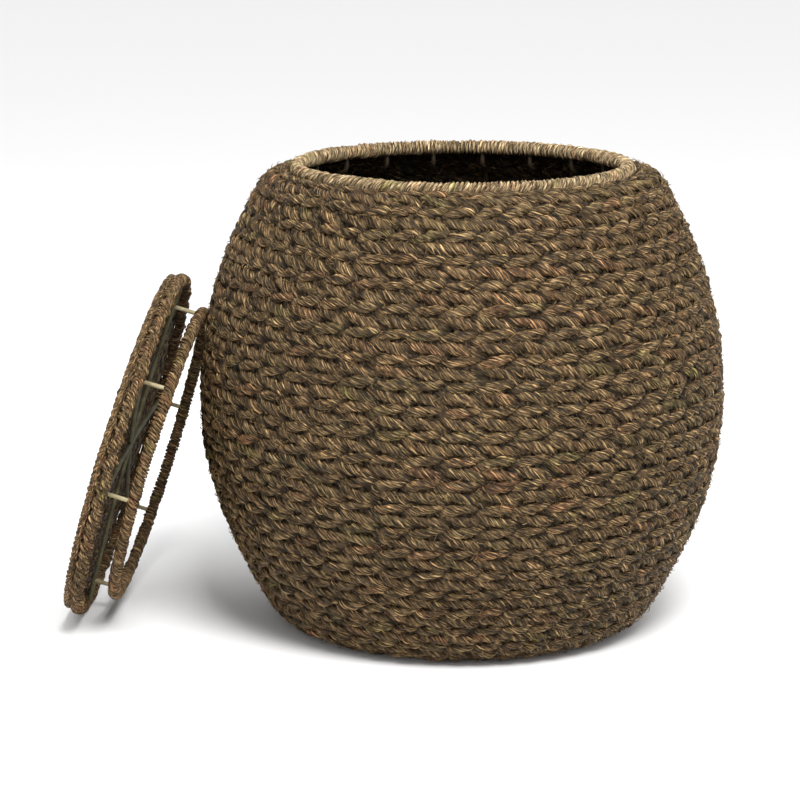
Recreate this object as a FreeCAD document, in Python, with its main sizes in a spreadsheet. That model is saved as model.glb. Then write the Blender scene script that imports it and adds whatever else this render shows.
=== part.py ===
import FreeCAD, Part
import math
import os

import Sketcher

# A round-bellied seagrass laundry basket on a wire frame, and the lid that leans against its left side.
# Millimetres.  +Z is up, the basket's axis is Z, its underside lies on z = 0, and the lid is on the -X side.

SIZES = {
    # the woven body: four arcs that run into each other from the foot to the mouth
    "belly_radius": 260,
    "belly_height": 231,
    "foot_radius": 140,
    "lower_arc": 340,
    "upper_arc": 392,
    "shoulder_arc": 33,
    "wall_top": 450,
    "lip_radius": 170,
    "wall_thickness": 13,
    "base_gap": 0.3,
    # the levels at which the weaving of one zone of the wall ends and the next begins
    "foot_top": 50,
    "lower_top": 150,
    "belly_top": 300,
    "upper_top": 400,
    # the wrapped mouth
    "mouth_radius": 162,
    "mouth_height": 454.75,
    "mouth_wrap": 6.25,
    "mouth_wire": 3,
    "wire_gap": 0.1,
    # the wire frame inside the wall
    "rib_wire": 2.25,
    "rib_gap": 0.3,
    "rib_bend": 8,
    "rib_turn": 100.6,
    "base_wire": 2.5,
    "base_hoop_radius": 138,
    # the lid, measured in its own frame: +Z points out of the underside
    "lid_radius": 179.5,
    "lid_band_width": 12,
    "lid_band_low": -4.8,
    "lid_band_high": 8,
    "lid_band_round": 5,
    "lid_strip_width": 2.5,
    "lid_strip_low": -1.5,
    "lid_strip_high": 5,
    "lid_edge_radius": 172.5,
    "lid_edge_cord": 4,
    "lid_edge_height": -9,
    "panel_radius": 167,
    "panel_top": -9,
    "panel_thickness": 8,
    "panel_dome": 3,
    "spoke_wire": 2.25,
    "spoke_height": 4.6,
    "spoke_reach": 170.5,
    "spoke_dip": 5,
    "post_wire": 2.1,
    "second_spoke_turn": 51,
    "third_spoke_turn": 96,
    "seat_radius": 148,
    "seat_height": 31,
    "seat_wrap": 5.6,
    "seat_wire": 2.75,
    # how the lid leans
    "lid_x": -332.4,
    "lid_y": 12.1,
    "lid_z": 173.25,
    "lid_lean": 16.9,
    "lid_turn": 2.6,
}
RIB_COUNT = 20
SPOKE_TURNS = ("0", "Sizes.second_spoke_turn", "Sizes.third_spoke_turn")
# the circle that a bowed spoke is part of, and the spoke's lowest level
SPOKE_BOW = "((Sizes.spoke_reach ^ 2 + Sizes.spoke_dip ^ 2) / (2 * Sizes.spoke_dip))"
SPOKE_LOW = "(Sizes.spoke_height - Sizes.spoke_dip)"
WALL_ZONES = {
    "woven_foot": ("0", "Sizes.foot_top"),
    "woven_lower_wall": ("Sizes.foot_top", "Sizes.lower_top"),
    "woven_belly": ("Sizes.lower_top", "Sizes.belly_top"),
    "woven_upper_wall": ("Sizes.belly_top", "Sizes.upper_top"),
    "woven_shoulder": ("Sizes.upper_top", "Sizes.wall_top"),
}

doc = FreeCAD.newDocument("laundry_basket")
sheet = doc.addObject("Spreadsheet::Sheet", "Sizes")


def fill_sheet():
    """Write every size in a cell of its own, with its name as the alias."""
    for row, (name, value) in enumerate(SIZES.items(), start=1):
        sheet.set("A%d" % row, name)
        sheet.set("B%d" % row, str(value))
        sheet.setAlias("B%d" % row, name)
    doc.recompute()


def size(name):
    """A size as the sheet gives it."""
    return float(getattr(sheet, name))


# ---------------------------------------------------------------- helpers


def body_plane(body, role):
    """The origin plane of a body, found by its role."""
    return next(item for item in body.Origin.OriginFeatures if item.Role == role)


def new_sketch(body, name, role="XZ_Plane"):
    """An empty sketch on one of the body's own planes."""
    sketch = body.newObject("Sketcher::SketchObject", name)
    sketch.AttachmentSupport = [(body_plane(body, role), "")]
    sketch.MapMode = "FlatFace"
    return sketch


def drive(sketch, index, name, expression):
    """Name a dimension and bind it to the sheet."""
    sketch.renameConstraint(index, name)
    sketch.setExpression("Constraints." + name, expression)


def dimension(sketch, name, expression, *constraint):
    """Add a dimension to a sketch and bind it to the sheet."""
    drive(sketch, sketch.addConstraint(Sketcher.Constraint(*constraint)), name, expression)


def revolve(body, sketch):
    """Turn a sketch all the way round the body's own Z axis."""
    turn = body.newObject("PartDesign::Revolution", body.Label + "_turn")
    turn.Profile = sketch
    turn.ReferenceAxis = (sketch, ["V_Axis"])
    turn.Angle = 360
    body.Tip = turn
    return turn


def new_body(name):
    body = doc.addObject("PartDesign::Body", name)
    body.Label = name
    return body


def add_line(sketch, start, end):
    return sketch.addGeometry(Part.LineSegment(FreeCAD.Vector(*start, 0), FreeCAD.Vector(*end, 0)))


def add_arc(sketch, centre, radius, first, last):
    circle = Part.Circle(FreeCAD.Vector(*centre, 0), FreeCAD.Vector(0, 0, 1), radius)
    return sketch.addGeometry(Part.ArcOfCircle(circle, first, last))


def torus(name, ring_radius, cord_radius, height, frame=""):
    """A ring of round section at a height in a frame; all the sizes are expressions."""
    ring = doc.addObject("Part::Torus", name)
    ring.Label = name
    ring.setExpression("Radius1", ring_radius)
    ring.setExpression("Radius2", cord_radius)
    ring.setExpression("Placement", frame + "placement(vector(0; 0; %s); rotationz(0))" % height)
    return ring


def wrapped_ring(name, ring_radius, wrap_radius, wire_radius, height, frame=""):
    """A cord wrapping: a ring of round section with the wire's room left open in it."""
    outside = torus(name + "_outside", ring_radius, wrap_radius, height, frame)
    inside = torus(name + "_inside", ring_radius, wire_radius + " + Sizes.wire_gap", height, frame)
    wrap = doc.addObject("Part::Cut", name)
    wrap.Label = name
    wrap.Base = outside
    wrap.Tool = inside
    return wrap


# ---------------------------------------------------------------- the woven body

RIGHT = math.pi / 2


def wall_arcs():
    """Centres and joints of the wall's outer arcs, for a first drawing that the constraints then hold."""
    lower = (size("belly_radius") - size("lower_arc"), size("belly_height"))
    upper = (size("belly_radius") - size("upper_arc"), size("belly_height"))
    reach = size("foot_radius") - lower[0]
    foot_arc = (size("lower_arc") ** 2 - lower[1] ** 2 - reach**2) / (2 * (size("lower_arc") - lower[1]))
    foot = (size("foot_radius"), foot_arc)
    rise = size("wall_top") - size("shoulder_arc") - upper[1]
    run = math.sqrt((size("upper_arc") - size("shoulder_arc")) ** 2 - rise**2)
    shoulder = (upper[0] + run, upper[1] + rise)
    low_joint = math.atan2(foot[1] - lower[1], foot[0] - lower[0])
    high_joint = math.atan2(rise, run)
    return {
        "foot": (foot, foot_arc, -RIGHT, low_joint),
        "lower": (lower, size("lower_arc"), low_joint, 0.0),
        "upper": (upper, size("upper_arc"), 0.0, high_joint),
        "shoulder": (shoulder, size("shoulder_arc"), high_joint, RIGHT),
    }


def make_shell():
    """The whole woven wall: outer arcs from foot to mouth, the same arcs one thickness in, and two edges."""
    body = new_body("wall_shell")
    sketch = new_sketch(body, "wall_profile")
    arcs = wall_arcs()
    thick = size("wall_thickness")
    outer = [add_arc(sketch, *arcs[key]) for key in ("foot", "lower", "upper", "shoulder")]
    inner = []
    for key in ("foot", "lower", "upper", "shoulder"):
        centre, radius, first, last = arcs[key]
        inner.append(add_arc(sketch, centre, radius - thick, first, last))
    top = arcs["shoulder"][0][0]
    lip = size("lip_radius")
    high = size("wall_top")
    foot = size("foot_radius")
    lip_top = add_line(sketch, (top, high), (lip, high))
    lip_edge = add_line(sketch, (lip, high), (lip, high - thick))
    lip_under = add_line(sketch, (lip, high - thick), (top, high - thick))
    foot_edge = add_line(sketch, (foot, thick), (foot, 0))

    start, end, centre = 1, 2, 3
    join = [
        ("Tangent", outer[0], end, outer[1], start),
        ("Tangent", outer[1], end, outer[2], start),
        ("Tangent", outer[2], end, outer[3], start),
        ("Tangent", outer[3], end, lip_top, start),
        ("Coincident", lip_top, end, lip_edge, start),
        ("Coincident", lip_edge, end, lip_under, start),
        ("Tangent", lip_under, end, inner[3], end),
        ("Tangent", inner[3], start, inner[2], end),
        ("Tangent", inner[2], start, inner[1], end),
        ("Tangent", inner[1], start, inner[0], end),
        ("Coincident", inner[0], start, foot_edge, start),
        ("Coincident", foot_edge, end, outer[0], start),
        ("Coincident", inner[0], centre, outer[0], centre),
        ("Coincident", inner[1], centre, outer[1], centre),
        ("Coincident", inner[2], centre, outer[2], centre),
        ("Coincident", inner[3], centre, outer[3], centre),
        ("Horizontal", lip_top),
        ("Vertical", lip_edge),
        ("Horizontal", lip_under),
        ("Vertical", foot_edge),
        ("PointOnObject", outer[0], start, -1),
        ("Vertical", outer[0], centre, outer[0], start),
    ]
    for constraint in join:
        sketch.addConstraint(Sketcher.Constraint(*constraint))
    dimension(sketch, "foot_reach", "Sizes.foot_radius", "DistanceX", -1, 1, outer[0], start, foot)
    dimension(sketch, "lower_round", "Sizes.lower_arc", "Radius", outer[1], size("lower_arc"))
    dimension(sketch, "upper_round", "Sizes.upper_arc", "Radius", outer[2], size("upper_arc"))
    dimension(sketch, "shoulder_round", "Sizes.shoulder_arc", "Radius", outer[3], size("shoulder_arc"))
    reach, level = size("belly_radius"), size("belly_height")
    dimension(sketch, "belly_level", "Sizes.belly_height", "DistanceY", -1, 1, outer[1], end, level)
    dimension(sketch, "belly_reach", "Sizes.belly_radius", "DistanceX", -1, 1, outer[1], end, reach)
    sketch.addConstraint(Sketcher.Constraint("Horizontal", outer[1], centre, outer[1], end))
    dimension(sketch, "top_level", "Sizes.wall_top", "DistanceY", -1, 1, lip_top, start, high)
    dimension(sketch, "lip_reach", "Sizes.lip_radius", "DistanceX", -1, 1, lip_edge, start, lip)
    inner_round = "Sizes.lower_arc - Sizes.wall_thickness"
    dimension(sketch, "inner_round", inner_round, "Radius", inner[1], size("lower_arc") - thick)
    revolve(body, sketch)
    return body


def make_wall():
    """The wall in its zones, each cut from the shell between two levels."""
    shell = make_shell()
    zones = []
    for name, (low, high) in WALL_ZONES.items():
        slab = doc.addObject("Part::Cylinder", name + "_slab")
        slab.setExpression("Radius", "Sizes.belly_radius + Sizes.wall_thickness")
        slab.setExpression("Height", "%s - %s" % (high, low))
        slab.setExpression("Placement.Base.z", low)
        zone = doc.addObject("Part::Common", name)
        zone.Label = name
        zone.Base = shell
        zone.Tool = slab
        zones.append(zone)
    return zones


def make_base():
    """The woven floor, a flat disc inside the foot of the wall."""
    base = doc.addObject("Part::Cylinder", "woven_base")
    base.Label = "woven_base"
    base.setExpression("Radius", "Sizes.foot_radius - Sizes.base_gap")
    base.setExpression("Height", "Sizes.wall_thickness")
    return base


# ---------------------------------------------------------------- the wire frame


def rib_path():
    """The line one rib follows: along the inside of the wall, under the lip, and up to the mouth hoop."""
    inset = size("wall_thickness") + size("rib_gap") + size("rib_wire")
    arcs = wall_arcs()
    edges = []
    for key in ("foot", "lower", "upper", "shoulder"):
        centre, radius, first, last = arcs[key]
        middle = FreeCAD.Vector(centre[0], 0, centre[1])
        circle = Part.Circle(middle, FreeCAD.Vector(0, -1, 0), radius - inset)
        circle.XAxis = FreeCAD.Vector(1, 0, 0)
        edges.append(Part.ArcOfCircle(circle, first, last).toShape())
    bend = size("rib_bend")
    top = arcs["shoulder"][0][0]
    under = size("wall_top") - inset
    corner = size("mouth_radius") + bend
    edges.append(Part.makeLine(FreeCAD.Vector(top, 0, under), FreeCAD.Vector(corner, 0, under)))
    middle = bend * math.sin(RIGHT / 2)
    knee = Part.Arc(
        FreeCAD.Vector(corner, 0, under),
        FreeCAD.Vector(corner - middle, 0, under + bend - middle),
        FreeCAD.Vector(corner - bend, 0, under + bend),
    )
    edges.append(knee.toShape())
    tip = FreeCAD.Vector(size("mouth_radius"), 0, size("mouth_height"))
    edges.append(Part.makeLine(FreeCAD.Vector(corner - bend, 0, under + bend), tip))
    return Part.Wire(edges)


def make_ribs():
    """Upright wires round the inside of the wall, each one the same bent rod turned to its own place."""
    path = rib_path()
    start = path.Vertexes[0].Point
    ring = Part.Wire(Part.makeCircle(size("rib_wire"), start, FreeCAD.Vector(1, 0, 0)))
    rod = path.makePipeShell([ring], True, False)
    ribs = []
    for index in range(RIB_COUNT):
        name = "wall_rib_%02d" % (index + 1)
        rib = doc.addObject("Part::Feature", name)
        rib.Label = name
        rib.Shape = rod
        turn = "Sizes.rib_turn + %d * 360 / %d" % (index, RIB_COUNT)
        rib.setExpression("Placement", "placement(vector(0; 0; 0); rotationz(%s))" % turn)
        ribs.append(rib)
    return ribs


def make_basket_rings():
    """The wire at the floor, the wire at the mouth and the cord wrapped round it."""
    base_hoop = torus(
        "base_hoop",
        "Sizes.base_hoop_radius",
        "Sizes.base_wire",
        "Sizes.wall_thickness + Sizes.base_gap + Sizes.base_wire",
    )
    mouth_hoop = torus("mouth_hoop", "Sizes.mouth_radius", "Sizes.mouth_wire", "Sizes.mouth_height")
    mouth_wrap = wrapped_ring(
        "mouth_wrap", "Sizes.mouth_radius", "Sizes.mouth_wrap", "Sizes.mouth_wire", "Sizes.mouth_height"
    )
    return [base_hoop, mouth_hoop, mouth_wrap]


# ---------------------------------------------------------------- the lid

LEAN = (
    "placement(vector(Sizes.lid_x; Sizes.lid_y; Sizes.lid_z); "
    "rotationz(-Sizes.lid_turn) * rotationy(90 + Sizes.lid_lean))"
)


def on_lid(item, place=None):
    """Put a piece at the lid's own frame, or at a place within it."""
    item.setExpression("Placement", LEAN if place is None else LEAN + " * " + place)
    return item


def box_profile(sketch, low, high):
    """A rectangle between two corners, closed and square."""
    lines = [
        add_line(sketch, (low[0], low[1]), (high[0], low[1])),
        add_line(sketch, (high[0], low[1]), (high[0], high[1])),
        add_line(sketch, (high[0], high[1]), (low[0], high[1])),
        add_line(sketch, (low[0], high[1]), (low[0], low[1])),
    ]
    for index, line in enumerate(lines):
        sketch.addConstraint(Sketcher.Constraint("Coincident", line, 2, lines[(index + 1) % 4], 1))
        sketch.addConstraint(Sketcher.Constraint("Horizontal" if index % 2 == 0 else "Vertical", line))
    return lines


def hold_box(sketch, lines, names, sizes):
    """Bind a rectangle's inner and outer radius and its two levels to the sheet."""
    inner, outer, low, high = sizes
    spots = [("DistanceX", 0, 1), ("DistanceX", 0, 2), ("DistanceY", 0, 1), ("DistanceY", 1, 2)]
    for name, expression, (kind, side, point) in zip(names, (inner, outer, low, high), spots):
        value = sketch.getPoint(lines[side], point)
        amount = value.x if kind == "DistanceX" else value.y
        dimension(sketch, name, expression, kind, -1, 1, lines[side], point, amount)


def make_lid_hoop():
    """The flat strip bent to a ring that stiffens the lid's edge."""
    body = new_body("lid_hoop")
    sketch = new_sketch(body, "strip_profile")
    middle = size("lid_radius") - size("lid_band_width") / 2
    half = size("lid_strip_width") / 2
    low, high = size("lid_strip_low"), size("lid_strip_high")
    lines = box_profile(sketch, (middle - half, low), (middle + half, high))
    hold_box(
        sketch,
        lines,
        ("strip_inner", "strip_outer", "strip_low", "strip_high"),
        (
            "Sizes.lid_radius - Sizes.lid_band_width / 2 - Sizes.lid_strip_width / 2",
            "Sizes.lid_radius - Sizes.lid_band_width / 2 + Sizes.lid_strip_width / 2",
            "Sizes.lid_strip_low",
            "Sizes.lid_strip_high",
        ),
    )
    revolve(body, sketch)
    return on_lid(body)


def make_lid_rim_wrap():
    """The cord wrapped across the lid's edge: a rounded band with room for the strip."""
    body = new_body("lid_rim_wrap")
    sketch = new_sketch(body, "band_profile")
    outer = size("lid_radius")
    inner = outer - size("lid_band_width")
    lines = box_profile(sketch, (inner, size("lid_band_low")), (outer, size("lid_band_high")))
    hold_box(
        sketch,
        lines,
        ("band_inner", "band_outer", "band_low", "band_high"),
        (
            "Sizes.lid_radius - Sizes.lid_band_width",
            "Sizes.lid_radius",
            "Sizes.lid_band_low",
            "Sizes.lid_band_high",
        ),
    )
    middle = (outer + inner) / 2
    half = size("lid_strip_width") / 2 + size("wire_gap")
    gap = size("wire_gap")
    room = box_profile(
        sketch,
        (middle - half, size("lid_strip_low") - gap),
        (middle + half, size("lid_strip_high") + gap),
    )
    hold_box(
        sketch,
        room,
        ("room_inner", "room_outer", "room_low", "room_high"),
        (
            "Sizes.lid_radius - Sizes.lid_band_width / 2 - Sizes.lid_strip_width / 2 - Sizes.wire_gap",
            "Sizes.lid_radius - Sizes.lid_band_width / 2 + Sizes.lid_strip_width / 2 + Sizes.wire_gap",
            "Sizes.lid_strip_low - Sizes.wire_gap",
            "Sizes.lid_strip_high + Sizes.wire_gap",
        ),
    )
    turn = revolve(body, sketch)
    doc.recompute()
    corners = []
    for number, edge in enumerate(turn.Shape.Edges, start=1):
        at = edge.BoundBox
        radius = max(at.XMax, at.YMax)
        outside = abs(radius - outer) < 0.01 or abs(radius - inner) < 0.01
        if outside and at.ZLength < 0.01:
            corners.append("Edge%d" % number)
    fillet = body.newObject("PartDesign::Fillet", "band_rounding")
    fillet.Base = (turn, corners)
    fillet.Radius = size("lid_band_round")
    fillet.setExpression("Radius", "Sizes.lid_band_round")
    body.Tip = fillet
    return on_lid(body)


def make_lid_panel():
    """The woven lid top: a disc that rises a little towards its middle."""
    body = new_body("lid_panel")
    sketch = new_sketch(body, "panel_profile")
    reach = size("panel_radius")
    dome = size("panel_dome")
    top = size("panel_top")
    under = top + size("panel_thickness")
    bow = (reach**2 + dome**2) / (2 * dome)
    half = math.asin(reach / bow)
    outer_arc = add_arc(sketch, (0, top - dome + bow), bow, -RIGHT, -RIGHT + half)
    inner_arc = add_arc(sketch, (0, under - dome + bow), bow, -RIGHT, -RIGHT + half)
    rim = add_line(sketch, (reach, top), (reach, under))
    axis = add_line(sketch, (0, under - dome), (0, top - dome))
    for constraint in (
        ("Coincident", outer_arc, 2, rim, 1),
        ("Coincident", rim, 2, inner_arc, 2),
        ("Coincident", inner_arc, 1, axis, 1),
        ("Coincident", axis, 2, outer_arc, 1),
        ("PointOnObject", outer_arc, 3, -2),
        ("PointOnObject", inner_arc, 3, -2),
        ("PointOnObject", outer_arc, 1, -2),
        ("PointOnObject", inner_arc, 1, -2),
        ("Vertical", rim),
        ("Equal", outer_arc, inner_arc),
    ):
        sketch.addConstraint(Sketcher.Constraint(*constraint))
    dimension(sketch, "panel_reach", "Sizes.panel_radius", "DistanceX", -1, 1, rim, 1, reach)
    dimension(sketch, "panel_edge", "Sizes.panel_top", "DistanceY", -1, 1, rim, 1, top)
    thick = size("panel_thickness")
    dimension(sketch, "panel_depth", "Sizes.panel_thickness", "DistanceY", rim, 1, rim, 2, thick)
    peak = "Sizes.panel_top - Sizes.panel_dome"
    dimension(sketch, "panel_peak", peak, "DistanceY", -1, 1, axis, 2, top - dome)
    revolve(body, sketch)
    return on_lid(body)


def make_lid_rings():
    """The braided edge of the lid top, the seat wire and the cord wrapped round the seat wire."""
    frame = LEAN + " * "
    name, ring, cord = "lid_edge_braid", "Sizes.lid_edge_radius", "Sizes.lid_edge_cord"
    edge = torus(name, ring, cord, "Sizes.lid_edge_height", frame)
    wire = torus("seat_ring", "Sizes.seat_radius", "Sizes.seat_wire", "Sizes.seat_height", frame)
    wrap = wrapped_ring(
        "seat_wrap", "Sizes.seat_radius", "Sizes.seat_wrap", "Sizes.seat_wire", "Sizes.seat_height", frame
    )
    return [edge, wire, wrap]


def make_spokes():
    """Three wires from edge to edge, bowed like the lid top, that cross in the middle and stiffen the lid."""
    spokes = []
    half = "asin(Sizes.spoke_reach / %s)" % SPOKE_BOW
    for index, angle in enumerate(SPOKE_TURNS):
        name = "lid_spoke_%d" % (index + 1)
        spoke = doc.addObject("Part::Torus", name)
        spoke.Label = name
        spoke.setExpression("Radius1", SPOKE_BOW)
        spoke.setExpression("Radius2", "Sizes.spoke_wire")
        spoke.setExpression("Angle3", "2 * " + half)
        place = (
            "placement(vector(0; 0; %s + %s); rotationz(%s)) * "
            "placement(vector(0; 0; 0); rotationx(90)) * "
            "placement(vector(0; 0; 0); rotationz(-90 deg - %s))" % (SPOKE_LOW, SPOKE_BOW, angle, half)
        )
        spokes.append(on_lid(spoke, place))
    return spokes


def make_posts():
    """Six short wires that carry the seat ring, one near each end of each spoke."""
    posts = []
    foot = "(%s + %s - sqrt(%s ^ 2 - Sizes.seat_radius ^ 2))" % (SPOKE_LOW, SPOKE_BOW, SPOKE_BOW)
    ends = [angle for angle in SPOKE_TURNS] + ["(180 + %s)" % angle for angle in SPOKE_TURNS]
    for index, angle in enumerate(ends):
        name = "lid_post_%d" % (index + 1)
        post = doc.addObject("Part::Cylinder", name)
        post.Label = name
        post.setExpression("Radius", "Sizes.post_wire")
        post.setExpression("Height", "Sizes.seat_height - " + foot)
        place = (
            "placement(vector(0; 0; %s); rotationz(%s)) * "
            "placement(vector(Sizes.seat_radius; 0; 0); rotationz(0))" % (foot, angle)
        )
        posts.append(on_lid(post, place))
    return posts


# ---------------------------------------------------------------- build and export


def check_and_export(pieces):
    """Refuse any object in error and any bad solid, then write one STEP file for each piece."""
    for item in doc.Objects:
        if "Invalid" in item.State or "Error" in item.State:
            raise RuntimeError("%s is %s" % (item.Label, item.State))
    os.makedirs("parts", exist_ok=True)
    for old in os.listdir("parts"):
        os.remove(os.path.join("parts", old))
    for piece in pieces:
        shape = piece.Shape
        if shape.isNull() or not shape.isValid() or len(shape.Solids) != 1:
            raise RuntimeError("%s has no single valid solid" % piece.Label)
        shape.exportStep("parts/%s.step" % piece.Label)
        print("%-16s %10.1f mm3" % (piece.Label, shape.Volume))


fill_sheet()
pieces = make_wall()
pieces.append(make_base())
pieces += make_basket_rings()
pieces += make_ribs()
pieces += [make_lid_hoop(), make_lid_rim_wrap(), make_lid_panel()]
pieces += make_lid_rings()
pieces += make_spokes()
pieces += make_posts()
doc.recompute()
check_and_export(pieces)
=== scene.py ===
import math

import bpy
import numpy as np
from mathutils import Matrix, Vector


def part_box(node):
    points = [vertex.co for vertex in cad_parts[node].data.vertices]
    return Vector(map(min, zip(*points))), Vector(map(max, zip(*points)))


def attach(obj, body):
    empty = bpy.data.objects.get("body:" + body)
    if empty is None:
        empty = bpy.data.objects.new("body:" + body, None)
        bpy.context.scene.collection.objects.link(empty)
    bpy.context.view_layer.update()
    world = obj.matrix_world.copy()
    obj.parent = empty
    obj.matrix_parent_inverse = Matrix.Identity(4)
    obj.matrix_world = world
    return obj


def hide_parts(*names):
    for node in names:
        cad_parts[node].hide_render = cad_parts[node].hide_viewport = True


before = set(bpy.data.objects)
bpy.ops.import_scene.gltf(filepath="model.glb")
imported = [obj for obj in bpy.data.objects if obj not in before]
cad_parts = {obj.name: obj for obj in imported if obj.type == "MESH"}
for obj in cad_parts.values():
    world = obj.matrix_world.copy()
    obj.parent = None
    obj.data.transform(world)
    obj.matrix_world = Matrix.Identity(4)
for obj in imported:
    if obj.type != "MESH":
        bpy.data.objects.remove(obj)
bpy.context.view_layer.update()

# A seagrass laundry basket, open, with its lid leaning against its left side.
# Every woven or wrapped surface is made of its own twisted cords.  Metres, +Z up, -Y towards the camera.

NEAR = 1e-4
TURN = 2 * math.pi

# The order of the random draws matters: each seed belongs to one group of pieces.
WALL_SEED = 5
MOUTH_SEED = 21
BASE_SEED = 31
LID_SEED = 41

# Seagrass cord: a handful of blades twisted together, with painted shade in the valleys between them.
CORD_RADIUS = 0.0044
BLADES = 10
CORD_TWIST = 0.036
CORD_OVAL = 1.2
VALLEY_DEPTH = 0.76
# the valleys between the blades are darkened to this: painted shade
VALLEY_SHADE = 0.26
BLADE_CONTRAST = 0.44
SHADE_LIMITS = (0.2, 1.9)
BLADE_TINT = 0.7

# How uneven a cord is: the share by which something varies, and the length of cord over which it does.
THICK_CHANGE, THICK_SPAN = 0.07, 0.025
TWIST_CHANGE, TWIST_SPAN = 0.35, 0.03
SPREAD_CHANGE, SPREAD_SPAN = 0.16, 0.016
COARSE_CHANGE, COARSE_SPAN = 0.12, 0.011
FINE_CHANGE, FINE_SPAN = 0.09, 0.0055
BLADE_TINT_SPAN = 0.035
CORD_TINT_SPAN = 0.08
BLADE_SHADE_SPAN = 0.009
FIBRE_SHIFT = 50

# The wall is twined: in every course two cords cross between the stakes, and the courses take turns
# in direction.
WALL_THICKNESS = 0.013
STAKES = 48
COURSE_HEIGHT = 0.0116
COURSE_LIFT = COURSE_HEIGHT / 4 * 1.15
COURSES_PER_PIECE = 3
COURSE_STEP = 0.0026
# the cords' halves at the back of the wall are darkened by this much: painted shade
INSIDE_SHADE = 0.34
WEAVE_DEPTH = 0.0028
WAVER = 0.0011
FIRST_COURSE_LIFT = 0.0026
STAKE_RADIUS = 0.0042
# the stakes are darkened to this: painted shade between the courses
STAKE_SHADE = 0.25
STAKE_SIDES = 5
STAKE_FLATTEN = 0.6
STAKE_STEPS = 70

# Within a course: how far points are drawn to the cord's front, how far the crossings stray, how much
# the rise and the depth vary, and how flat the cord's front and back are.
FRONT_PULL = 0.44
CROSSING_STRAY = 0.22
RISE_CHANGE = 0.16
DEPTH_CHANGE = 0.12
FRONT_FLATNESS = 1.4
# where on the cord's swing from back to front its painted shade fades out
FRONT_SHADE_FROM = 0.45
TRIANGLE_SHARPNESS = 0.96

# Waves round the basket that neighbouring courses share: waves to a turn, and how fast they drift upwards.
WAVES = (3, 5, 7, 11, 13, 17)
WAVE_DRIFT = (8, 30)

# The section that courses follow is cut in this many steps, and its direction is smoothed over so many.
PROFILE_STEPS = 400
SMOOTH_SPAN = 13

# How far the cords swell past the plain section of the wall.
SHOULDER_START = 0.405
SHOULDER_RISE = 0.006
SHOULDER_SWELL = 0.001
MOUTH_SWELL = 0.0014
SEAT_SWELL = 0.0008
FOOT_SWELL_HEIGHT = 0.085
FOOT_SWELL = 0.0095

# The twined discs: how far the base's cords swing, and how every disc is divided.
BASE_DEPTH = 0.0032
DISC_STEP = 0.0030
DISC_MIDDLE = 0.004
DISC_STEPS = 60

# The wrapping of the mouth, the lid's rim and the seat ring: the cord's radius, and the pitch of its turns.
MOUTH_CORD, MOUTH_PITCH = 0.0019, 0.0040
RIM_CORD, RIM_PITCH = 0.0017, 0.0034
SEAT_CORD, SEAT_PITCH = 0.0018, 0.0035
COIL_BLADES = 3
COIL_TWIST = 0.024
COIL_STEP = 0.0023
COIL_STRAY = 0.12
COIL_SWELL = 0.08
COIL_LEAN = 0.35
RIM_LEAN = 0.5
RIM_WIDTH = 0.012
RIM_DEEP = 1.2
RIM_ROUND = 0.0035
RIM_CORE_ROUND = 0.0015

# The plait round the lid's edge.
PLAIT_STRANDS = 3
PLAIT_BLADES = 4
PLAIT_TWIST = 0.018
PLAIT_REPEATS = 52
PLAIT_STEP = 0.0019
PLAIT_CORD = 0.56
PLAIT_DEPTH = 0.55

# The lid's panel, and the cords that close the joint between the panel and the rim.
PANEL_THICKNESS = 0.008
PANEL_CORD = 0.00275
PANEL_PITCH = 0.0082
PANEL_DEPTH = 0.0014
PANEL_OVAL = 1.65
# the back halves of the panel's cords take this much painted shade
PANEL_BACK_SHADE = 0.9
JOINT_CORD = 0.0027
JOINT_REACH = 0.6
JOINT_SHADE = 0.8
JOINT_DROPS = (0.0, 0.0035)

# The filling under the wrappings is this dark, a painted shade for the gaps between their turns, and lies
# this many cord radii under their outside.
CORE_SHADE = 0.3
CORE_INSET = 1.5
CORE_STEPS = 180
# the valleys between the blades of the wrapping cords take this painted shade
WRAP_VALLEY_SHADE = 0.5

# Loose fibres are rooted this far under the surface.
STRAY_ROOT = 0.0015
STRAY_CORD = 0.0005
STRAY_POINTS = 5
STRAYS_OUTSIDE, STRAYS_OUTSIDE_FROM, STRAY_LENGTH_OUTSIDE = 3500, 0.03, 0.010
STRAYS_INSIDE, STRAYS_INSIDE_FROM, STRAY_LENGTH_INSIDE = 700, 0.6, 0.022

CAMERA_DISTANCE = 2.9
CAMERA_HEIGHT = 0.834
CAMERA_AIM = (-0.0611, 0.0, 0.222)
CAMERA_LENS_MM = 133.8
SENSOR_MM = 36.0

FLOOR_SIZE = 30
FLOOR_DROP = 0.0005
FLOOR_WHITE = (0.86, 0.86, 0.86)
KEY_PLACE = (0.5, -2.0, 2.8)
KEY_AIM = (0, 0, 0.25)
KEY_SIZE = (1.3, 1.3)
KEY_WATTS = 150


# ---------------------------------------------------------------- small helpers


def smooth_noise(period, count, rng, columns=1):
    """Soft random ups and downs that close up over the period, one set for each column."""
    knots = rng.normal(0, 1, (count, columns))

    def at(where):
        x = (np.asarray(where) / period * count) % count
        low = np.floor(x).astype(int) % count
        part = (x - np.floor(x))[:, None]
        ease = part * part * (3 - 2 * part)
        return knots[low] * (1 - ease) + knots[(low + 1) % count] * ease

    return at


def normalized(v):
    return v / np.maximum(np.linalg.norm(v, axis=-1, keepdims=True), 1e-12)


def ring_tangent(points):
    """Direction of travel at each point of a closed line."""
    return normalized(np.roll(points, -1, axis=0) - np.roll(points, 1, axis=0))


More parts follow.
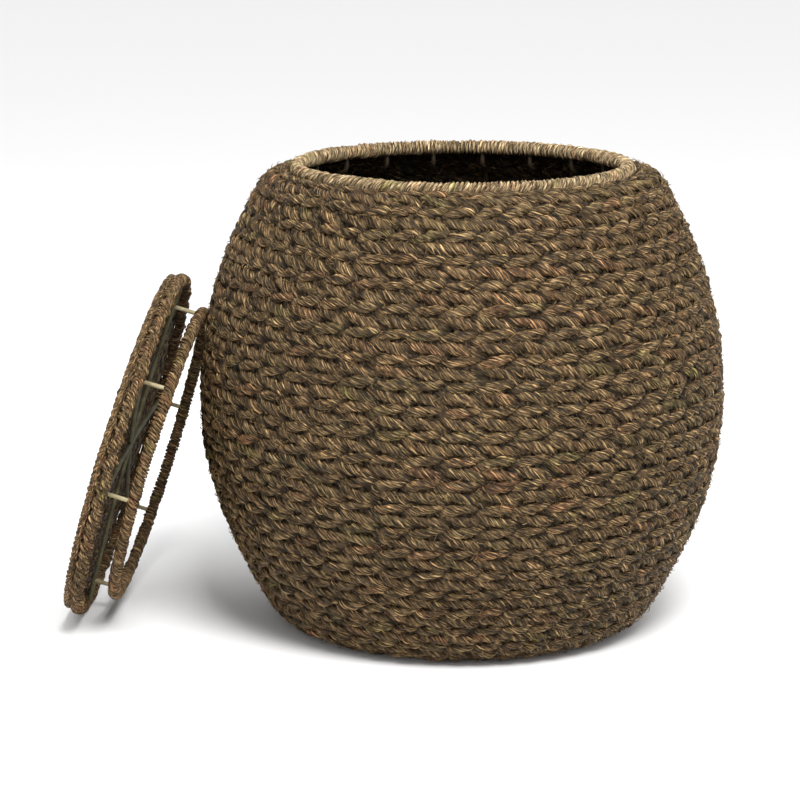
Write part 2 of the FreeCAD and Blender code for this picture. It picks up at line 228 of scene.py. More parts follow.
class Builder:
    """Collects cords and slivers, then makes one mesh object of them."""

    def __init__(self):
        self.points, self.quads, self.along, self.tint, self.shade = [], [], [], [], []
        self.count = 0

    def skin(self, cloud, along, tint, shade, closed):
        """A tube's skin. cloud has a row for each ring of points and a column for each corner."""
        number, sides = cloud.shape[:2]
        row = np.arange(number)
        following = (row + 1) % number
        if not closed:
            row, following = row[:-1], following[:-1]
        col = np.arange(sides)
        next_col = (col + 1) % sides
        a = row[:, None] * sides + col[None, :]
        b = following[:, None] * sides + col[None, :]
        c = following[:, None] * sides + next_col[None, :]
        d = row[:, None] * sides + next_col[None, :]
        quads = np.stack([a, b, c, d], axis=-1).reshape(-1, 4)[:, ::-1] + self.count
        self.points.append(cloud.reshape(-1, 3))
        self.quads.append(quads)
        self.along.append(along.reshape(-1, 3))
        self.tint.append(np.broadcast_to(tint, (number, sides)).ravel())
        self.shade.append(np.broadcast_to(shade, (number, sides)).ravel())
        self.count += number * sides

    def tube(self, points, side, radius, sides, tint, shade, flatten=1.0):
        """A plain open tube along points, flattened towards side."""
        tangent = normalized(np.gradient(points, axis=0))
        first = normalized(side - tangent * np.sum(side * tangent, axis=1, keepdims=True))
        second = np.cross(tangent, first)
        angle = np.arange(sides) / sides * TURN
        cos, sin = np.cos(angle), np.sin(angle)
        ring = first[:, None, :] * cos[None, :, None] * flatten + second[:, None, :] * sin[None, :, None]
        radius = np.broadcast_to(radius, (len(points),))
        cloud = points[:, None, :] + ring * radius[:, None, None]
        run = np.concatenate([[0.0], np.cumsum(np.linalg.norm(np.diff(points, axis=0), axis=1))])
        along = np.stack(
            [np.repeat(run[:, None], sides, axis=1), radius[:, None] * cos, radius[:, None] * sin], axis=-1
        )
        self.skin(cloud, along, tint, shade, False)

    def object(self, name, material, place=None):
        points = np.concatenate(self.points)
        if place is not None:
            points = points @ place[:3, :3].T + place[:3, 3]
        points[:, 2] = np.maximum(points[:, 2], 0.0)
        quads = np.concatenate(self.quads)
        mesh = bpy.data.meshes.new(name)
        mesh.vertices.add(len(points))
        mesh.vertices.foreach_set("co", points.astype(np.float32).ravel())
        mesh.loops.add(len(quads) * 4)
        mesh.loops.foreach_set("vertex_index", quads.astype(np.int32).ravel())
        mesh.polygons.add(len(quads))
        mesh.polygons.foreach_set("loop_start", np.arange(0, len(quads) * 4, 4, dtype=np.int32))
        mesh.polygons.foreach_set("use_smooth", np.ones(len(quads), dtype=bool))
        mesh.update(calc_edges=True)
        along = mesh.attributes.new("cord", "FLOAT_VECTOR", "POINT")
        along.data.foreach_set("vector", np.concatenate(self.along).astype(np.float32).ravel())
        tint = mesh.attributes.new("tint", "FLOAT", "POINT")
        tint.data.foreach_set("value", np.concatenate(self.tint).astype(np.float32))
        shade = mesh.attributes.new("shade", "FLOAT", "POINT")
        shade.data.foreach_set("value", np.concatenate(self.shade).astype(np.float32))
        mesh.validate()
        mesh.materials.append(material)
        obj = bpy.data.objects.new(name, mesh)
        bpy.context.scene.collection.objects.link(obj)
        return obj


def lay_cord(
    build,
    points,
    side,
    radius,
    rng,
    blades=BLADES,
    twist=CORD_TWIST,
    shade=1.0,
    oval=1.0,
    valley=VALLEY_SHADE,
):
    """A closed twisted cord: its blades are ridges with valleys between them, winding round the line; the
    valleys are darkened as painted shade.
    """
    length = np.linalg.norm(np.roll(points, -1, axis=0) - points, axis=1)
    total = length.sum()
    run = np.cumsum(length) - length
    turns = max(1, round(total / twist))
    tangent = ring_tangent(points)
    first = normalized(side - tangent * np.sum(side * tangent, axis=1, keepdims=True))
    second = np.cross(tangent, first)

    def uneven(spacing, columns=1):
        return smooth_noise(total, max(4, int(total / spacing)), rng, columns)(run)

    columns = 2 * blades
    ridge = np.arange(columns) % 2 == 0
    thick = radius * (1 + THICK_CHANGE * uneven(THICK_SPAN))
    angle = run[:, None] / total * turns * TURN + TWIST_CHANGE * uneven(TWIST_SPAN) + rng.uniform(0, TURN)
    angle = angle + np.arange(columns) / columns * TURN + SPREAD_CHANGE * uneven(SPREAD_SPAN, columns)
    ragged = COARSE_CHANGE * uneven(COARSE_SPAN, columns) + FINE_CHANGE * uneven(FINE_SPAN, columns)
    reach = thick * (np.where(ridge, 1.0, VALLEY_DEPTH) + ragged)
    cos, sin = np.cos(angle)[:, :, None], np.sin(angle)[:, :, None]
    across = first[:, None, :] * cos / oval + second[:, None, :] * sin * oval
    cloud = points[:, None, :] + across * reach[:, :, None]
    blade = np.repeat(uneven(BLADE_TINT_SPAN, blades), 2, axis=1)
    tint = uneven(CORD_TINT_SPAN) + BLADE_TINT * blade
    # ridges take the blades' own random tone; valleys take painted shade, and the caller's shade multiplies
    # in its painted shade
    light = np.where(ridge, 1.0 + BLADE_CONTRAST * uneven(BLADE_SHADE_SPAN, columns), valley)
    light = np.clip(light, *SHADE_LIMITS) * np.reshape(shade, (-1, 1))
    flat = np.arange(columns) / columns * TURN
    along = np.stack(
        [
            np.repeat(run[:, None] + rng.uniform(0, FIBRE_SHIFT), columns, axis=1),
            np.broadcast_to(radius * np.cos(flat), (len(points), columns)),
            np.broadcast_to(radius * np.sin(flat), (len(points), columns)),
        ],
        axis=-1,
    )
    build.skin(cloud, along, tint, light, True)


# ---------------------------------------------------------------- materials


def tree_of(name):
    material = bpy.data.materials.new(name)
    material.use_nodes = True
    tree = material.node_tree
    tree.nodes.clear()
    out = tree.nodes.new("ShaderNodeOutputMaterial")
    shader = tree.nodes.new("ShaderNodeBsdfPrincipled")
    tree.links.new(shader.outputs["BSDF"], out.inputs["Surface"])
    return material, tree, shader


def ramp(tree, source, stops):
    node = tree.nodes.new("ShaderNodeValToRGB")
    node.color_ramp.elements[0].position = stops[0][0]
    node.color_ramp.elements[0].color = (*stops[0][1], 1)
    node.color_ramp.elements[1].position = stops[-1][0]
    node.color_ramp.elements[1].color = (*stops[-1][1], 1)
    for position, colour in stops[1:-1]:
        stop = node.color_ramp.elements.new(position)
        stop.color = (*colour, 1)
    tree.links.new(source, node.inputs["Fac"])
    return node.outputs["Color"]


def stretched_noise(tree, coords, scale, detail=3.0, frequency=1.0):
    """Noise pulled out along the cord, so that it reads as fibres."""
    mapping = tree.nodes.new("ShaderNodeMapping")
    mapping.inputs["Scale"].default_value = scale
    tree.links.new(coords, mapping.inputs["Vector"])
    noise = tree.nodes.new("ShaderNodeTexNoise")
    noise.inputs["Scale"].default_value = frequency
    noise.inputs["Detail"].default_value = detail
    noise.inputs["Roughness"].default_value = 0.6
    tree.links.new(mapping.outputs["Vector"], noise.inputs["Vector"])
    return noise.outputs["Fac"]


def maths(tree, operation, a, b):
    node = tree.nodes.new("ShaderNodeMath")
    node.operation = operation
    for socket, value in zip(node.inputs, (a, b)):
        if isinstance(value, (int, float)):
            socket.default_value = value
        else:
            tree.links.new(value, socket)
    return node.outputs[0]


def seagrass(name, dark, mid, light, green, red):
    """Dried seagrass: fibres along the ply, and patches of olive and reddish brown along the cord, darkened
    by the shade attribute, which carries painted shade.
    """
    material, tree, shader = tree_of(name)
    where = tree.nodes.new("ShaderNodeAttribute")
    where.attribute_name = "cord"
    patch = tree.nodes.new("ShaderNodeAttribute")
    patch.attribute_name = "tint"
    fibres = stretched_noise(tree, where.outputs["Vector"], (220, 2000, 2000), detail=2.0)
    blades = stretched_noise(tree, where.outputs["Vector"], (140, 1000, 1000), detail=1.0)
    shade = maths(tree, "ADD", maths(tree, "MULTIPLY", fibres, 0.4), maths(tree, "MULTIPLY", blades, 0.6))
    grain = ramp(tree, shade, [(0.38, dark), (0.5, mid), (0.64, light)])
    hue = maths(tree, "ADD", maths(tree, "MULTIPLY", patch.outputs["Fac"], 0.14), 0.5)
    tinting = ramp(
        tree,
        hue,
        [(0.1, green), (0.36, (0.5, 0.5, 0.5)), (0.62, (0.52, 0.5, 0.48)), (0.88, red)],
    )
    mix = tree.nodes.new("ShaderNodeMix")
    mix.data_type = "RGBA"
    mix.blend_type = "OVERLAY"
    mix.inputs["Factor"].default_value = 1.0
    tree.links.new(grain, mix.inputs["A"])
    tree.links.new(tinting, mix.inputs["B"])
    # the shade attribute multiplies the colour: painted shade in blade valleys, on cords' back halves, on
    # the stakes and on the filling under wrappings, with the blades' random tone
    depth = tree.nodes.new("ShaderNodeAttribute")
    depth.attribute_name = "shade"
    darken = tree.nodes.new("ShaderNodeMix")
    darken.data_type = "RGBA"
    darken.blend_type = "MULTIPLY"
    darken.inputs["Factor"].default_value = 1.0
    tree.links.new(mix.outputs["Result"], darken.inputs["A"])
    tree.links.new(depth.outputs["Fac"], darken.inputs["B"])
    tree.links.new(darken.outputs["Result"], shader.inputs["Base Color"])
    rough = maths(tree, "ADD", maths(tree, "MULTIPLY", fibres, 0.35), 0.5)
    tree.links.new(rough, shader.inputs["Roughness"])
    shader.inputs["Specular IOR Level"].default_value = 0.22
    bump = tree.nodes.new("ShaderNodeBump")
    bump.inputs["Strength"].default_value = 1.0
    bump.inputs["Distance"].default_value = 0.0022
    tree.links.new(shade, bump.inputs["Height"])
    tree.links.new(bump.outputs["Normal"], shader.inputs["Normal"])
    return material


def wire_material(name, colours):
    """Wire with a slightly worn coating."""
    material, tree, shader = tree_of(name)
    coords = tree.nodes.new("ShaderNodeTexCoord")
    broad = stretched_noise(tree, coords.outputs["Object"], (60, 60, 60), detail=4.0)
    colour = ramp(tree, broad, [(0.35, colours[0]), (0.55, colours[1]), (0.7, colours[2])])
    tree.links.new(colour, shader.inputs["Base Color"])
    tree.links.new(maths(tree, "ADD", maths(tree, "MULTIPLY", broad, 0.3), 0.45), shader.inputs["Roughness"])
    shader.inputs["Specular IOR Level"].default_value = 0.3
    fine = stretched_noise(tree, coords.outputs["Object"], (900, 900, 900), detail=2.0)
    bump = tree.nodes.new("ShaderNodeBump")
    bump.inputs["Strength"].default_value = 0.25
    bump.inputs["Distance"].default_value = 0.0004
    tree.links.new(fine, bump.inputs["Height"])
    tree.links.new(bump.outputs["Normal"], shader.inputs["Normal"])
    return material


def plain_stage(name, colour):
    material, _, shader = tree_of(name)
    shader.inputs["Base Color"].default_value = (*colour, 1)
    shader.inputs["Roughness"].default_value = 0.9
    return material


WEAVE = seagrass(
    "seagrass_weave",
    dark=(0.010, 0.005, 0.0017),
    mid=(0.105, 0.063, 0.0235),
    light=(0.44, 0.296, 0.143),
    green=(0.44, 0.52, 0.38),
    red=(0.60, 0.47, 0.46),
)
LID_WRAP = seagrass(
    "seagrass_lid_wrap",
    dark=(0.018, 0.009, 0.003),
    mid=(0.155, 0.093, 0.038),
    light=(0.50, 0.335, 0.172),
    green=(0.45, 0.52, 0.38),
    red=(0.60, 0.47, 0.45),
)
WRAP = seagrass(
    "seagrass_wrap",
    dark=(0.036, 0.021, 0.007),
    mid=(0.325, 0.222, 0.108),
    light=(0.86, 0.68, 0.43),
    green=(0.48, 0.54, 0.38),
    red=(0.60, 0.48, 0.46),
)
POST_WIRE = wire_material("olive_wire", [(0.17, 0.13, 0.06), (0.30, 0.25, 0.14), (0.42, 0.36, 0.22)])
SPOKE_WIRE = wire_material(
    "dull_olive_wire", [(0.05, 0.04, 0.018), (0.095, 0.085, 0.042), (0.16, 0.145, 0.08)]
)
RIB_WIRE = wire_material("brown_wire", [(0.015, 0.010, 0.004), (0.024, 0.016, 0.007), (0.04, 0.028, 0.014)])


# ---------------------------------------------------------------- the woven wall


def corners_of(name):
    """The corners of a CAD node's mesh, one row for each."""
    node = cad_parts[name]
    co = np.empty(len(node.data.vertices) * 3)
    node.data.vertices.foreach_get("co", co)
    return co.reshape(-1, 3)


def wall_zones():
    """The names of the CAD nodes that make up the wall."""
    return [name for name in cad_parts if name.startswith("woven_") and name != "woven_base"]


def wall_outline():
    """The outer edge of the wall's section, foot to lip, from the CAD solids: (radius, height) points."""
    spots = []
    for name in wall_zones():
        co = corners_of(name)
        spots.append(np.stack([np.hypot(co[:, 0], co[:, 1]), co[:, 2]], axis=1))
    spots = np.unique(np.round(np.concatenate(spots), 5), axis=0)
    foot = spots[spots[:, 1] < NEAR]
    start = foot[foot[:, 0].argmax()]
    top = spots[spots[:, 1] > spots[:, 1].max() - NEAR]
    end = top[top[:, 0].argmin()]
    outline = [start]
    ranked = spots[np.lexsort((-spots[:, 0], spots[:, 1]))]
    # keep only the points that the outline goes round on its way up: its convex side
    for spot in ranked:
        while len(outline) > 1:
            a, b = outline[-2], outline[-1]
            if (b[0] - a[0]) * (spot[1] - a[1]) - (b[1] - a[1]) * (spot[0] - a[0]) <= 0:
                outline.pop()
            else:
                break
        outline.append(spot)
    outline = np.array(outline + [end])
    keep = np.concatenate([[True], np.linalg.norm(np.diff(outline, axis=0), axis=1) > NEAR / 10])
    return outline[keep]


class Profile:
    """A curve in section to lay courses along: its place, direction and outward side at any length."""

    def __init__(self, outline):
        step = np.linalg.norm(np.diff(outline, axis=0), axis=1)
        run = np.concatenate([[0.0], np.cumsum(step)])
        self.length = run[-1]
        self.run = np.linspace(0, self.length, PROFILE_STEPS)
        spots = np.stack([np.interp(self.run, run, outline[:, i]) for i in (0, 1)], axis=1)
        ahead = np.gradient(spots, axis=0)
        kernel = np.hanning(SMOOTH_SPAN) / np.hanning(SMOOTH_SPAN).sum()
        margin = SMOOTH_SPAN // 2
        padded = np.pad(ahead, ((margin, margin), (0, 0)), mode="edge")
        ahead = np.stack([np.convolve(padded[:, i], kernel, mode="valid") for i in (0, 1)], axis=1)
        self.spots, self.ahead = spots, normalized(ahead)

    def at(self, length):
        place = np.stack([np.interp(length, self.run, self.spots[:, i]) for i in (0, 1)], axis=-1)
        ahead = np.stack([np.interp(length, self.run, self.ahead[:, i]) for i in (0, 1)], axis=-1)
        ahead = normalized(ahead)
        out = np.stack([ahead[..., 1], -ahead[..., 0]], axis=-1)
        return place, ahead, out


def swing(phase, sharpness):
    """A wave between -1 and 1 with flatter tops than a sine."""
    return np.tanh(sharpness * np.sin(phase)) / math.tanh(sharpness)


def ramped(phase):
    """A rounded triangle wave: rises steadily while its cosine is positive."""
    return np.arcsin(TRIANGLE_SHARPNESS * np.sin(phase)) / math.asin(TRIANGLE_SHARPNESS)


def course(
    build,
    profile,
    middle,
    hand,
    stakes,
    depth,
    rng,
    cord=CORD_RADIUS,
    step=COURSE_STEP,
    wobble=None,
    squash=1.0,
    oval=CORD_OVAL,
    back_shade=INSIDE_SHADE,
):
    """One twined course: two cords that cross between the stakes and pass in front of them in turn."""
    place, ahead, out = profile.at(middle)
    radius = max(place[0], 0.02)
    number = max(24, int(radius * TURN / step))
    even = np.arange(number) / number * TURN
    pairs = stakes / 2
    for cord_index in (0, 1):
        # fewer points where the cord is at the back of the wall
        phi = even - FRONT_PULL * np.sin(even * pairs + cord_index * math.pi) / pairs
        jitter = smooth_noise(TURN, stakes, rng)(phi)[:, 0]
        phase = phi * pairs + cord_index * math.pi + CROSSING_STRAY * jitter
        rise = 1 + RISE_CHANGE * smooth_noise(TURN, stakes, rng)(phi)[:, 0]
        dip = 1 + DEPTH_CHANGE * smooth_noise(TURN, stakes, rng)(phi)[:, 0]
        up = hand * COURSE_LIFT * squash * ramped(phase) * rise
        off = depth * swing(phase + math.pi / 2, FRONT_FLATNESS) * dip
        if wobble is not None:
            up = up + wobble(phi, middle)
        cos, sin = np.cos(phi), np.sin(phi)
        r = place[0] + ahead[0] * up + out[0] * off
        z = place[1] + ahead[1] * up + out[1] * off
        points = np.stack([r * cos, r * sin, z], axis=1)
        side = np.stack([out[0] * cos, out[0] * sin, np.full_like(cos, out[1])], axis=1)
        # painted shade: the cord is darkened where it swings to the back of the wall
        front = np.clip(off / depth + FRONT_SHADE_FROM, 0, 1)
        lay_cord(build, points, side, cord, rng, shade=back_shade + (1 - back_shade) * front, oval=oval)


def wavering(amount, rng):
    """Slow waves shared by neighbouring courses, so that they stay beside each other."""
    phases = rng.uniform(0, TURN, len(WAVES))
    counts = np.array(WAVES)
    heights = rng.normal(0, 1, len(WAVES)) / np.sqrt(counts)
    pace = rng.uniform(*WAVE_DRIFT, len(WAVES))

    def at(phi, height):
        total = 0.0
        for k in range(len(WAVES)):
            total = total + heights[k] * np.sin(counts[k] * phi + phases[k] + pace[k] * height)
        return amount * total

    return at


def stray_ends(build, profile, number, rng, face, lowest, longest):
    """Loose fibres that stand out of the weave: face is 1 for its outside and -1 for its inside."""
    for _ in range(number):
        length = profile.length * rng.uniform(lowest, 0.99)
        place, ahead, out = profile.at(length)
        phi = rng.uniform(0, TURN)
        around = np.array([-math.sin(phi), math.cos(phi), 0.0])
        outward = np.array([out[0] * math.cos(phi), out[0] * math.sin(phi), out[1]]) * face
        upward = np.array([ahead[0] * math.cos(phi), ahead[0] * math.sin(phi), ahead[1]])
        start = np.array([place[0] * math.cos(phi), place[0] * math.sin(phi), place[1]])
        start = start - outward * STRAY_ROOT
        lean = rng.normal(0, 0.6)
        heading = normalized(around * rng.choice([-1, 1]) * math.cos(lean) + upward * math.sin(lean))
        size = rng.uniform(0.4, 1.0) * longest
        rise = STRAY_ROOT + rng.uniform(0.0, 0.2) * longest
        t = np.linspace(0, 1, STRAY_POINTS)[:, None]
        line = start + heading * size * t + outward * rise * np.sin(t * rng.uniform(1.6, 3.0))
        sides = np.tile(outward, (STRAY_POINTS, 1))
        tapered = STRAY_CORD * (1 - 0.7 * t[:, 0])
        tint = rng.normal(0, 0.8)
        build.tube(line, sides, tapered, 3, tint, rng.uniform(0.9, 2.2))


def plump(outline):
    """Lets the cords swell past the CAD section: up to the mouth's wrapping, and out round the foot."""
    r, z = outline[:, 0], outline[:, 1]
    rise = np.clip((z - SHOULDER_START) / (z.max() - SHOULDER_START), 0, 1)
    foot = np.clip(1 - z / FOOT_SWELL_HEIGHT, 0, 1)
    r = r + SHOULDER_SWELL * rise + FOOT_SWELL * foot * foot
    return np.stack([r, z + SHOULDER_RISE * rise**2], axis=1)


def make_stakes(centre, rng):
    """The upright stakes that the courses are twined round, hidden but for glimpses between the courses, and
    darkened there as painted shade.
    """
    build = Builder()
    place, _, out = centre.at(np.linspace(0, centre.length, STAKE_STEPS))
    for index in range(STAKES):
        for pair in (-1, 1):
            phi = index / STAKES * TURN
            cos, sin = math.cos(phi), math.sin(phi)
            apart = pair * STAKE_RADIUS * 0.8
            r, z = place[:, 0], place[:, 1]
            points = np.stack([r * cos - apart * sin, r * sin + apart * cos, z], axis=1)
            side = np.stack([out[:, 0] * cos, out[:, 0] * sin, out[:, 1]], axis=1)
            tint = rng.normal()
            build.tube(points, side, STAKE_RADIUS, STAKE_SIDES, tint, STAKE_SHADE, flatten=STAKE_FLATTEN)
    piece = build.object("stakes", WEAVE)
    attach(piece, "basket")


def make_wall():
    """The wall's courses, three to a piece, with the stakes they go round and the loose fibres."""
    profile = Profile(plump(wall_outline()))
    outward = profile.at(profile.run)[2]
    centre = Profile(profile.spots - outward * WALL_THICKNESS / 2)
    rng = np.random.default_rng(WALL_SEED)
    wobble = wavering(WAVER, rng)
    woven = centre.length - FIRST_COURSE_LIFT
    number = int(round(woven / COURSE_HEIGHT))
    pitch = woven / number
    zones = sorted((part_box(name)[1][2], name) for name in wall_zones())
    made = {}
    for first in range(0, number, COURSES_PER_PIECE):
        build = Builder()
        for index in range(first, min(first + COURSES_PER_PIECE, number)):
            middle = FIRST_COURSE_LIFT + (index + 0.5) * pitch
            hand = 1.0 if index % 2 else -1.0
            course(build, centre, middle, hand, STAKES, WEAVE_DEPTH, rng, wobble=wobble)
        height = centre.at((first + COURSES_PER_PIECE / 2) * pitch)[0][1]
        zone = next((name for top, name in zones if height <= top), zones[-1][1])
        made[zone] = made.get(zone, 0) + 1
        piece = build.object("%s_courses_%d" % (zone.replace("woven_", ""), made[zone]), WEAVE)
        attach(piece, "basket")
        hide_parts(zone)
    make_stakes(centre, rng)
    build = Builder()
    stray_ends(build, profile, STRAYS_OUTSIDE, rng, 1.0, STRAYS_OUTSIDE_FROM, STRAY_LENGTH_OUTSIDE)
    inner = Profile(profile.spots - outward * WALL_THICKNESS)
    stray_ends(build, inner, STRAYS_INSIDE, rng, -1.0, STRAYS_INSIDE_FROM, STRAY_LENGTH_INSIDE)
    piece = build.object("stray_fibres", WEAVE)
    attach(piece, "basket")


# ---------------------------------------------------------------- wrapped rings


def coil(build, ring_radius, height, section, pitch, cord, rng, lean=COIL_LEAN):
    """A cord wound across a ring. section is the winding's outline in (across, up) points."""
    closed = np.vstack([section, section[:1]])
    lengths = np.linalg.norm(np.diff(closed, axis=0), axis=1)
    run = np.concatenate([[0.0], np.cumsum(lengths)])
    turns = int(round(TURN * ring_radius / pitch))
    per_turn = max(8, int(run[-1] / COIL_STEP))
    number = turns * per_turn
    t = np.arange(number) / per_turn
    along = (t % 1.0) * run[-1]
    across = np.interp(along, run, closed[:, 0])
    up = np.interp(along, run, closed[:, 1])
    tilt = lean * pitch * np.sin(TURN * (t % 1.0))
    stray = pitch * COIL_STRAY * smooth_noise(turns, turns, rng)(t)[:, 0]
    phi = (t * pitch + tilt + stray) / (turns * pitch) * TURN
    swell = 1 + COIL_SWELL * smooth_noise(turns, turns, rng)(t)[:, 0]
    r = ring_radius + across * swell
    z = height + up * swell
    points = np.stack([r * np.cos(phi), r * np.sin(phi), z], axis=1)
    side = np.stack([across * np.cos(phi), across * np.sin(phi), up], axis=1)
    side = normalized(side)
    lay_cord(build, points, side, cord, rng, COIL_BLADES, COIL_TWIST, valley=WRAP_VALLEY_SHADE)


def shade_core(build, ring_radius, height, section):
    """A dark filling under a wrapping, which closes the gaps between its turns with painted shade."""
    phi = np.arange(CORE_STEPS) / CORE_STEPS * TURN
    phi, across = np.meshgrid(phi, section[::-1, 0], indexing="ij")
    up = np.broadcast_to(section[::-1, 1], phi.shape)
    r = ring_radius + across
    cloud = np.stack([r * np.cos(phi), r * np.sin(phi), height + up], axis=-1)
    along = np.stack([phi * ring_radius, across, up], axis=-1)
    build.skin(cloud, along, 0.0, CORE_SHADE, True)


def round_section(radius, sides=24):
    angle = np.arange(sides) / sides * TURN
    return np.stack([np.cos(angle), np.sin(angle)], axis=1) * radius


def band_section(half_width, low, high, corner, sides=7):
    """A rectangle with rounded corners, as points round it."""
    corners = [
        (half_width - corner, high - corner, 0.0),
        (-half_width + corner, high - corner, 0.25),
        (-half_width + corner, low + corner, 0.5),
        (half_width - corner, low + corner, 0.75),
    ]
    spots = []
    for x, y, turn in corners:
        for k in range(sides):
            angle = (turn + 0.25 * k / (sides - 1)) * TURN
            spots.append((x + corner * math.cos(angle), y + corner * math.sin(angle)))
    return np.array(spots)


def make_mouth():
    low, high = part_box("mouth_wrap")
    thick = (high[2] - low[2]) / 2 + MOUTH_SWELL
    ring_radius = high[0] - thick + MOUTH_SWELL
    middle = (high[2] + low[2]) / 2 + MOUTH_SWELL / 2
    build = Builder()
    rng = np.random.default_rng(MOUTH_SEED)
    coil(build, ring_radius, middle, round_section(thick - MOUTH_CORD), MOUTH_PITCH, MOUTH_CORD, rng)
    shade_core(build, ring_radius, middle, round_section(thick - MOUTH_CORD * CORE_INSET))
    piece = build.object("mouth_wrapping", WRAP)
    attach(piece, "basket")
    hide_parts("mouth_wrap")


# ---------------------------------------------------------------- the floor of the basket and the lid


def disc_profile(radius, height, dome=0.0, inner=0.0005):
    """From the middle of a disc out to its edge."""
    r = np.linspace(inner, radius, DISC_STEPS)
    z = height - dome * (1 - (r / radius) ** 2)
    return Profile(np.stack([r, z], axis=1))


def stakes_at(share):
    """How many stakes a disc has at a share of its radius: fewer towards the middle."""
    if share > 0.55:
        return STAKES
    if share > 0.25:
        return STAKES // 2
    return STAKES // 4


def woven_disc(build, profile, depth, cord, pitch, rng, oval=CORD_OVAL, back_shade=INSIDE_SHADE):
    """Twined courses in rings, from the middle out."""
    woven = profile.length - DISC_MIDDLE - cord
    number = int(woven / pitch)
    gap = woven / number
    for index in range(number + 1):
        middle = DISC_MIDDLE + index * gap
        stakes = stakes_at(profile.at(middle)[0][0] / profile.spots[-1][0])
        hand = 1.0 if index % 2 else -1.0
        squash = pitch / COURSE_HEIGHT
        looks = {"squash": squash, "oval": oval, "back_shade": back_shade}
        course(build, profile, middle, hand, stakes, depth, rng, cord, DISC_STEP, **looks)


def make_base():
    low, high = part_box("woven_base")
    build = Builder()
    rng = np.random.default_rng(BASE_SEED)
    middle = (low[2] + high[2]) / 2
    profile = disc_profile(high[0] + CORD_RADIUS * 0.6 + FOOT_SWELL, middle)
    woven_disc(build, profile, BASE_DEPTH, CORD_RADIUS, COURSE_HEIGHT, rng)
    piece = build.object("base_courses", WEAVE)
    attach(piece, "basket")
    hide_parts("woven_base")


def lid_frame():
    """The lid's own frame, from two opposite posts: a 4x4 array with +Z out of the lid's underside."""
    near, far = corners_of("lid_post_1"), corners_of("lid_post_4")
    middle = (near.mean(axis=0) + far.mean(axis=0)) / 2
    axis = np.linalg.svd(near - near.mean(axis=0), full_matrices=False)[2][0]
    axis = axis * np.sign(axis[0])
    across = normalized(near.mean(axis=0) - far.mean(axis=0))
    across = normalized(across - axis * np.dot(across, axis))
    place = np.eye(4)
    place[:3, 0], place[:3, 1], place[:3, 2] = across, np.cross(axis, across), axis
    place[:3, 3] = middle
    return place


def in_lid(place, name):
    """Lowest and highest corner of a lid node in the lid's own frame."""
    local = (corners_of(name) - place[:3, 3]) @ place[:3, :3]
    return local.min(axis=0), local.max(axis=0)


def lid_piece(build, name, material, node, place):
    """Makes a piece of the lid that stands for one of its CAD nodes."""
    piece = build.object(name, material, place)
    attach(piece, "lid")
    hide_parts(node)


def make_lid_rim(place, rng):
    low, high = in_lid(place, "lid_rim_wrap")
    bottom, top = low[2], high[2]
    middle = high[0] - RIM_WIDTH / 2
    deep = RIM_CORD * RIM_DEEP
    section = band_section(RIM_WIDTH / 2 - deep, bottom + deep, top - deep, RIM_ROUND)
    build = Builder()
    coil(build, middle, 0.0, section, RIM_PITCH, RIM_CORD, rng, lean=RIM_LEAN)
    inset = RIM_CORD * CORE_INSET
    section = band_section(RIM_WIDTH / 2 - inset, bottom + inset, top - inset, RIM_CORE_ROUND)
    shade_core(build, middle, 0.0, section)
    lid_piece(build, "lid_rim_wrapping", LID_WRAP, "lid_rim_wrap", place)


def make_seat_wrapping(place, rng):
    low, high = in_lid(place, "seat_wrap")
    thick = (high[2] - low[2]) / 2 + SEAT_SWELL
    ring_radius, middle = high[0] - thick, (low[2] + high[2]) / 2
    build = Builder()
    coil(build, ring_radius, middle, round_section(thick - SEAT_CORD), SEAT_PITCH, SEAT_CORD, rng)
    shade_core(build, ring_radius, middle, round_section(thick - SEAT_CORD * CORE_INSET))
    lid_piece(build, "seat_wrapping", LID_WRAP, "seat_wrap", place)


def make_lid_edge(place, rng):
    low, high = in_lid(place, "lid_edge_braid")
    thick = (high[2] - low[2]) / 2
    build = Builder()
    plait(build, high[0] - thick, (low[2] + high[2]) / 2, thick, rng)
    lid_piece(build, "lid_edge_plait", LID_WRAP, "lid_edge_braid", place)


def make_lid_panel(place, rng):
    low, high = in_lid(place, "lid_panel")
    dome = high[2] - low[2] - PANEL_THICKNESS
    edge_height = high[2] - PANEL_THICKNESS / 2
    profile = disc_profile(high[0] + PANEL_CORD, edge_height, dome)
    build = Builder()
    woven_disc(build, profile, PANEL_DEPTH, PANEL_CORD, PANEL_PITCH, rng, PANEL_OVAL, PANEL_BACK_SHADE)
    lid_piece(build, "lid_panel_courses", WEAVE, "lid_panel", place)
    build = Builder()
    for drop in JOINT_DROPS:
        ring_cord(build, high[0] + JOINT_CORD * JOINT_REACH, edge_height - drop, JOINT_CORD, rng)
    lid_piece(build, "lid_panel_binding", WEAVE, "lid_panel", place)


def make_lid():
    place = lid_frame()
    rng = np.random.default_rng(LID_SEED)
    make_lid_rim(place, rng)
    make_seat_wrapping(place, rng)
    make_lid_edge(place, rng)
    make_lid_panel(place, rng)


def ring_cord(build, ring_radius, height, cord, rng):
    """A plain twisted cord laid round in a ring."""
    number = int(TURN * ring_radius / COURSE_STEP)
    phi = np.arange(number) / number * TURN
    side = np.stack([np.cos(phi), np.sin(phi), np.zeros_like(phi)], axis=1)
    points = side * ring_radius + np.array([0.0, 0.0, height])
    lay_cord(build, points, side, cord, rng, shade=JOINT_SHADE)


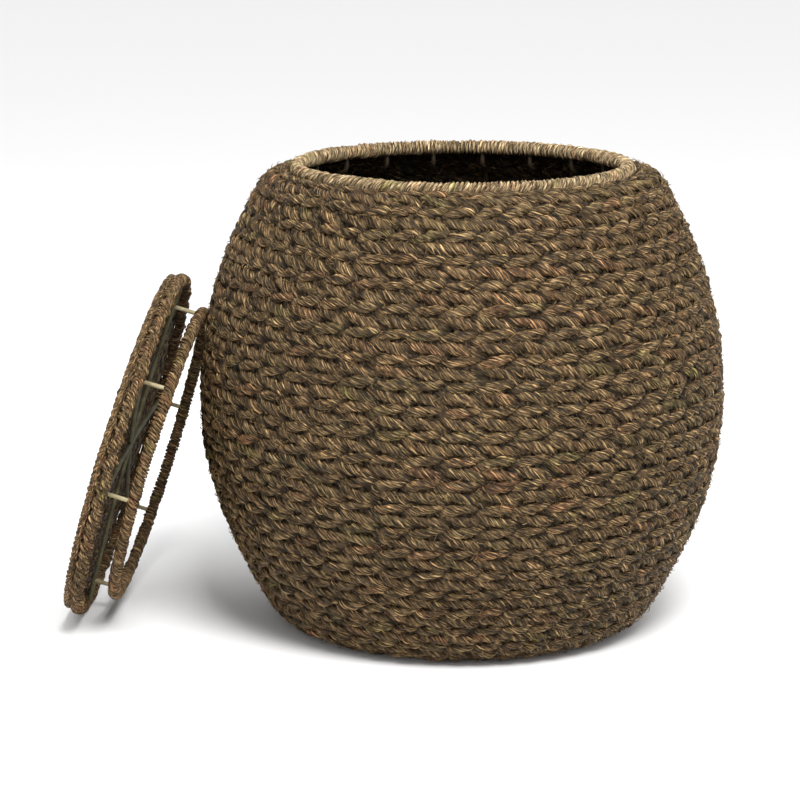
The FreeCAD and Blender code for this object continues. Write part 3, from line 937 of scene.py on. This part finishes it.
def plait(build, ring_radius, height, thick, rng):
    """Three strands plaited in a ring."""
    number = int(TURN * ring_radius / PLAIT_STEP)
    phi = np.arange(number) / number * TURN
    cord = thick * PLAIT_CORD
    for strand in range(PLAIT_STRANDS):
        phase = phi * PLAIT_REPEATS + strand * TURN / PLAIT_STRANDS
        up = (thick - cord) * np.sin(phase)
        out = (thick - cord) * PLAIT_DEPTH * np.sin(2 * phase)
        r = ring_radius + out
        points = np.stack([r * np.cos(phi), r * np.sin(phi), height + up], axis=1)
        side = np.stack([np.cos(phi), np.sin(phi), np.zeros_like(phi)], axis=1)
        lay_cord(build, points, side, cord, rng, PLAIT_BLADES, PLAIT_TWIST)


# ---------------------------------------------------------------- wires


def paint_wires():
    """The lid's wires are pale; the basket's, deep in the weave, are brown."""
    looks = {"lid_spoke": SPOKE_WIRE, "lid_post": POST_WIRE, "seat_ring": SPOKE_WIRE, "lid_hoop": SPOKE_WIRE}
    looks.update({"wall_rib": RIB_WIRE, "base_hoop": RIB_WIRE, "mouth_hoop": RIB_WIRE})
    for name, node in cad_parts.items():
        for start, look in looks.items():
            if name.startswith(start):
                for slot in node.material_slots:
                    slot.material = look


# ---------------------------------------------------------------- camera, floor and light


def make_camera():
    camera = bpy.data.cameras.new("camera")
    camera.sensor_width = SENSOR_MM
    camera.lens = CAMERA_LENS_MM
    camera.clip_end = 50
    holder = bpy.data.objects.new("camera", camera)
    bpy.context.scene.collection.objects.link(holder)
    holder.location = (0, -CAMERA_DISTANCE, CAMERA_HEIGHT)
    heading = Vector(CAMERA_AIM) - holder.location
    holder.rotation_euler = heading.to_track_quat("-Z", "Y").to_euler()
    bpy.context.scene.camera = holder


def make_floor():
    bpy.ops.mesh.primitive_plane_add(size=FLOOR_SIZE, location=(0, 0, -FLOOR_DROP))
    floor = bpy.context.object
    floor.name = "floor"
    floor.data.materials.append(plain_stage("floor_white", FLOOR_WHITE))


def soft_light(name, place, aim, size, power):
    lamp = bpy.data.lights.new(name, "AREA")
    lamp.shape = "RECTANGLE"
    lamp.size, lamp.size_y = size
    lamp.energy = power
    holder = bpy.data.objects.new(name, lamp)
    bpy.context.scene.collection.objects.link(holder)
    holder.location = place
    holder.rotation_euler = (Vector(aim) - Vector(place)).to_track_quat("-Z", "Y").to_euler()


def make_light():
    world = bpy.data.worlds.new("studio")
    world.use_nodes = True
    background = world.node_tree.nodes["Background"]
    background.inputs["Color"].default_value = (1, 1, 1, 1)
    background.inputs["Strength"].default_value = 1.0
    bpy.context.scene.world = world
    soft_light("key", KEY_PLACE, KEY_AIM, KEY_SIZE, KEY_WATTS)
    bpy.context.scene.view_settings.view_transform = "Standard"


make_camera()
make_floor()
make_light()
paint_wires()
make_wall()
make_mouth()
make_base()
make_lid()
